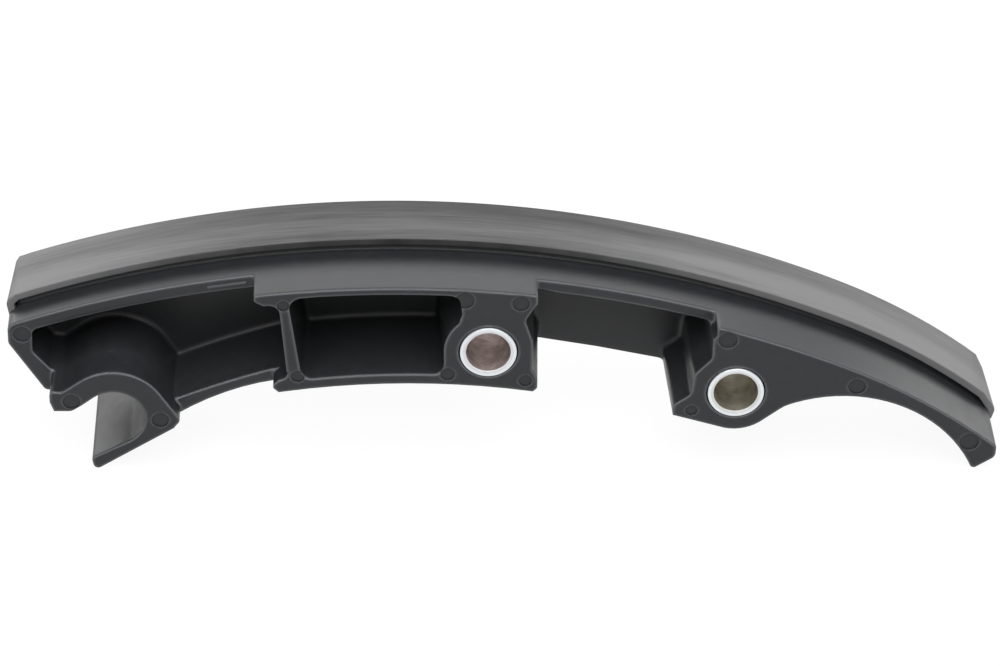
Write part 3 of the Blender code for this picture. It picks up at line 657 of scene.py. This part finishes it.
def shoeSweep(material):
    # the strip swept to the shoe's width, given its thickness, and its lips thinned behind
    tree, size = newTree("shoeSweep", [
        "Width", "Thickness", "Rear", "Left Start", "Left End", "Left Thinning",
        "Right Start", "Right End", "Right Thinning"])
    across = addNode(tree, "ShaderNodeCombineXYZ", inputs={"Y": size["Width"]})
    ribbon = addNode(tree, "GeometryNodeExtrudeMesh", {"mode": "EDGES"}, {
        "Mesh": size["Mesh"], "Offset": across.outputs[0]})
    plate = addNode(tree, "GeometryNodeExtrudeMesh", {"mode": "FACES"}, {
        "Mesh": ribbon.outputs["Mesh"], "Offset Scale": size["Thickness"], "Individual": False})
    spot = addNode(tree, "GeometryNodeInputPosition").outputs[0]
    where = addNode(tree, "ShaderNodeSeparateXYZ", inputs={0: spot})
    behind = addNode(
        tree, "FunctionNodeCompare", {"data_type": "FLOAT", "operation": "GREATER_THAN"},
        {"A": where.outputs["Y"], "B": size["Rear"]})
    outerRear = addNode(tree, "FunctionNodeBooleanMath", {"operation": "AND"}, {
        0: behind.outputs["Result"], 1: plate.outputs["Top"]})
    left, right = [
        span(tree, where.outputs["X"], size[end + " Start"], size[end + " End"],
             0.0, size[end + " Thinning"])
        for end in ("Left", "Right")]
    slip = addNode(tree, "ShaderNodeCombineXYZ", inputs={"X": calc(tree, "SUBTRACT", left, right)})
    thinned = addNode(tree, "GeometryNodeSetPosition", inputs={
        "Geometry": plate.outputs["Mesh"], "Selection": outerRear.outputs[0],
        "Offset": slip.outputs[0]})
    under = addNode(tree, "GeometryNodeFlipFaces", inputs={"Mesh": ribbon.outputs["Mesh"]})
    joined = addNode(tree, "GeometryNodeJoinGeometry")
    tree.links.new(under.outputs[0], joined.inputs[0])
    tree.links.new(thinned.outputs[0], joined.inputs[0])
    closed = addNode(tree, "GeometryNodeMergeByDistance", inputs={
        "Geometry": joined.outputs[0], "Distance": 1e-6})
    return closeTree(tree, closed.outputs[0], material)


def makeShoe(values):
    path, left, right = shoePath(values)
    points = [
        (origin.x + x * mm, shoeLow.y, shoeHigh.z + z * mm) for x, z in reversed(path)]
    mesh = bpy.data.meshes.new("wearShoe")
    mesh.from_pydata(points, [(i, i + 1) for i in range(len(points) - 1)], [])
    piece = addObject("wearShoe", mesh)
    useTree(piece, shoeSweep(shoeNylon), {
        "Width": shoeHigh.y - shoeLow.y,
        "Thickness": values["thickness"] * mm,
        "Rear": (shoeLow.y + shoeHigh.y) / 2,
        "Left Start": origin.x + left * mm,
        "Left End": origin.x + values["leftEnd"] * mm,
        "Left Thinning": values["leftThinning"] * mm,
        "Right Start": origin.x + right * mm,
        "Right End": origin.x + values["rightEnd"] * mm,
        "Right Thinning": values["rightThinning"] * mm,
    })
    edges = piece.modifiers.new("edgeRound", "BEVEL")
    edges.width = values["edgeRound"] * mm
    edges.segments = 3
    edges.limit_method = "ANGLE"
    edges.angle_limit = math.radians(35)
    edges.use_clamp_overlap = False
    bake(piece)
    build = bmesh.new()
    build.from_mesh(piece.data)
    volume = turnOutwards(build)
    loose = sum(1 for edge in build.edges if not edge.is_manifold)
    build.to_mesh(piece.data)
    build.free()
    smooth(piece, 40)
    evenNormals(piece)
    print("shoe:", len(piece.data.polygons), "faces,", volume, "mm3, open edges", loose)
    return piece


shoe = makeShoe(shoeValues)
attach(shoe, "root")
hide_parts("sliding_shoe")


sleeveValues = {
    "outer": 5.5,  # mm, radii
    "inner": 4.35,
    "chamfer": 0.5,  # mm across the end face, and down the bore
    "chamferDepth": 0.25,
    "outerRound": 0.15,
    "around": 96,
    "chamferTone": 0.35,  # how much of the bore's brown tone its chamfer takes
}


def sleeveTurn(material):
    # a cut through the wall turned round the bolt's axis
    tree, size = newTree("sleeveTurn", ["Inner Radius", "Around"])
    circle = addNode(tree, "GeometryNodeCurvePrimitiveCircle", inputs={
        "Resolution": size["Around"], "Radius": size["Inner Radius"]})
    cut = addNode(tree, "GeometryNodeMeshToCurve", inputs={"Mesh": size["Mesh"]})
    tube = addNode(tree, "GeometryNodeCurveToMesh", inputs={
        "Curve": circle.outputs["Curve"], "Profile Curve": cut.outputs["Curve"]})
    return closeTree(tree, tube.outputs["Mesh"], material)


def makeSleeve(node, name, material, values):
    low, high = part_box(node)
    length = (high.y - low.y) / mm
    wall = values["outer"] - values["inner"]
    chamfer = values["chamfer"]
    soft = values["outerRound"]
    bend = 0.3 * soft  # keeps the outer rim's middle point near its arc
    # half of the cut: distance out from the bore, distance along the axis
    half = [
        (0, values["chamferDepth"]), (chamfer, 0),
        (wall - soft, 0), (wall - bend, bend), (wall, soft)]
    section = half + [(out, length - along) for out, along in reversed(half)]
    count = len(section)
    mesh = bpy.data.meshes.new(name)
    mesh.from_pydata(
        [(out * mm, -along * mm, 0) for out, along in section],
        [(i, (i + 1) % count) for i in range(count)], [])
    piece = addObject(name, mesh)
    useTree(piece, sleeveTurn(material), {
        "Inner Radius": values["inner"] * mm, "Around": values["around"]})
    bake(piece)
    middle = (low + high) / 2
    spot = Matrix.Translation((middle.x, low.y, middle.z))
    piece.data.transform(spot @ Matrix.Rotation(-math.pi / 2, 4, "X"))
    build = bmesh.new()
    build.from_mesh(piece.data)
    bmesh.ops.remove_doubles(build, verts=build.verts[:], dist=1e-7)
    volume = turnOutwards(build)
    build.to_mesh(piece.data)
    build.free()
    smooth(piece, 30)

    # the bore's wall and its chamfers, for the material
    tones = []
    for face in piece.data.polygons:
        radius = math.hypot(face.center.x - middle.x, face.center.z - middle.z) / mm
        across = (radius - values["inner"]) / chamfer
        if across < 0.1:
            tones.append(1.0)
        elif across < 0.9:
            tones.append(values["chamferTone"])
        else:
            tones.append(0.0)
    storeNumbers(piece.data, "boreWall", "FACE", tones)
    print(name, len(tones), "faces,", volume, "mm3")
    return piece


sleeves = [
    ("middle_sleeve", "middleSleeve", sleeveSteel),
    ("end_sleeve", "endSleeve", endSleeveSteel),
]
for node, name, material in sleeves:
    sleeve = makeSleeve(node, name, material, sleeveValues)
    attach(sleeve, "root")
    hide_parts(node)


studioValues = {
    "floorSize": 6.0,  # metres
    "floorPaper": "#B4B4B4",
    "floorWhite": 1.05,  # what the camera sees of it, where 1 is white
    "shadowShare": 0.12,
    "world": 0.25,
}


def makeFloor(values):
    half = values["floorSize"] / 2
    mesh = bpy.data.meshes.new("studioFloor")
    mesh.from_pydata(
        [(-half, -half, 0), (half, -half, 0), (half, half, 0), (-half, half, 0)],
        [], [(0, 1, 2, 3)])
    floor = addObject("studioFloor", mesh)
    # matt paper that the camera and the gloss see as white, with a share left for the shadow
    material, tree = newMaterial("paperWhiteFloor")
    path = addNode(tree, "ShaderNodeLightPath").outputs
    seen = calc(tree, "MAXIMUM", path["Is Camera Ray"], path["Is Glossy Ray"])
    share = calc(tree, "MULTIPLY", seen, 1.0 - values["shadowShare"])
    paper = addNode(tree, "ShaderNodeBsdfDiffuse", inputs={
        "Color": hexToLinear(values["floorPaper"])})
    glow = addNode(tree, "ShaderNodeEmission", inputs={
        "Color": (1, 1, 1, 1), "Strength": values["floorWhite"]})
    finish(tree, addNode(tree, "ShaderNodeMixShader", inputs={
        0: share, 1: paper.outputs[0], 2: glow.outputs[0]}))
    mesh.materials.append(material)


def makeWorld(values):
    world = bpy.data.worlds.new("studioWorld")
    scene.world = world
    world.use_nodes = True
    tree = world.node_tree
    tree.nodes.clear()
    back = addNode(tree, "ShaderNodeBackground", inputs={
        "Color": (1, 1, 1, 1), "Strength": values["world"]})
    addNode(tree, "ShaderNodeOutputWorld", inputs={"Surface": back.outputs[0]})


# softboxes: direction from the guide (degrees round from straight behind, degrees up),
# distance and size in metres, and how bright its face is, where 1 is white
softboxes = {
    "softboxLeft": {"round": -46, "up": 24, "away": 1.3, "wide": 0.6, "high": 0.75, "bright": 3.6},
    "softboxRight": {"round": 50, "up": 20, "away": 1.3, "wide": 0.6, "high": 0.75, "bright": 3.2},
    "softboxBehind": {"round": 0, "up": 42, "away": 1.3, "wide": 1.3, "high": 0.95, "bright": 1.95},
    "softboxOver": {"round": 180, "up": 64, "away": 1.0, "wide": 1.6, "high": 0.9, "bright": 4.0},
    "softboxFront": {"round": 180, "up": 20, "away": 1.3, "wide": 1.2, "high": 0.15, "bright": 2.0},
}
wattsPerWhite = 4  # watts for each square metre of a lamp whose face is white


def makeSoftbox(name, values):
    aside = math.radians(values["round"])
    up = math.radians(values["up"])
    toward = Vector((
        math.sin(aside) * math.cos(up), math.cos(aside) * math.cos(up), math.sin(up)))
    data = bpy.data.lights.new(name, "AREA")
    data.shape = "RECTANGLE"
    data.size = values["wide"]
    data.size_y = values["high"]
    data.energy = values["bright"] * wattsPerWhite * values["wide"] * values["high"]
    item = addObject(name, data)
    item.location = toward * values["away"]
    item.rotation_euler = (-toward).to_track_quat("-Z", "Y").to_euler()


makeFloor(studioValues)
makeWorld(studioValues)
for name, values in softboxes.items():
    makeSoftbox(name, values)
scene.view_settings.view_transform = "Standard"
print("studio lit")
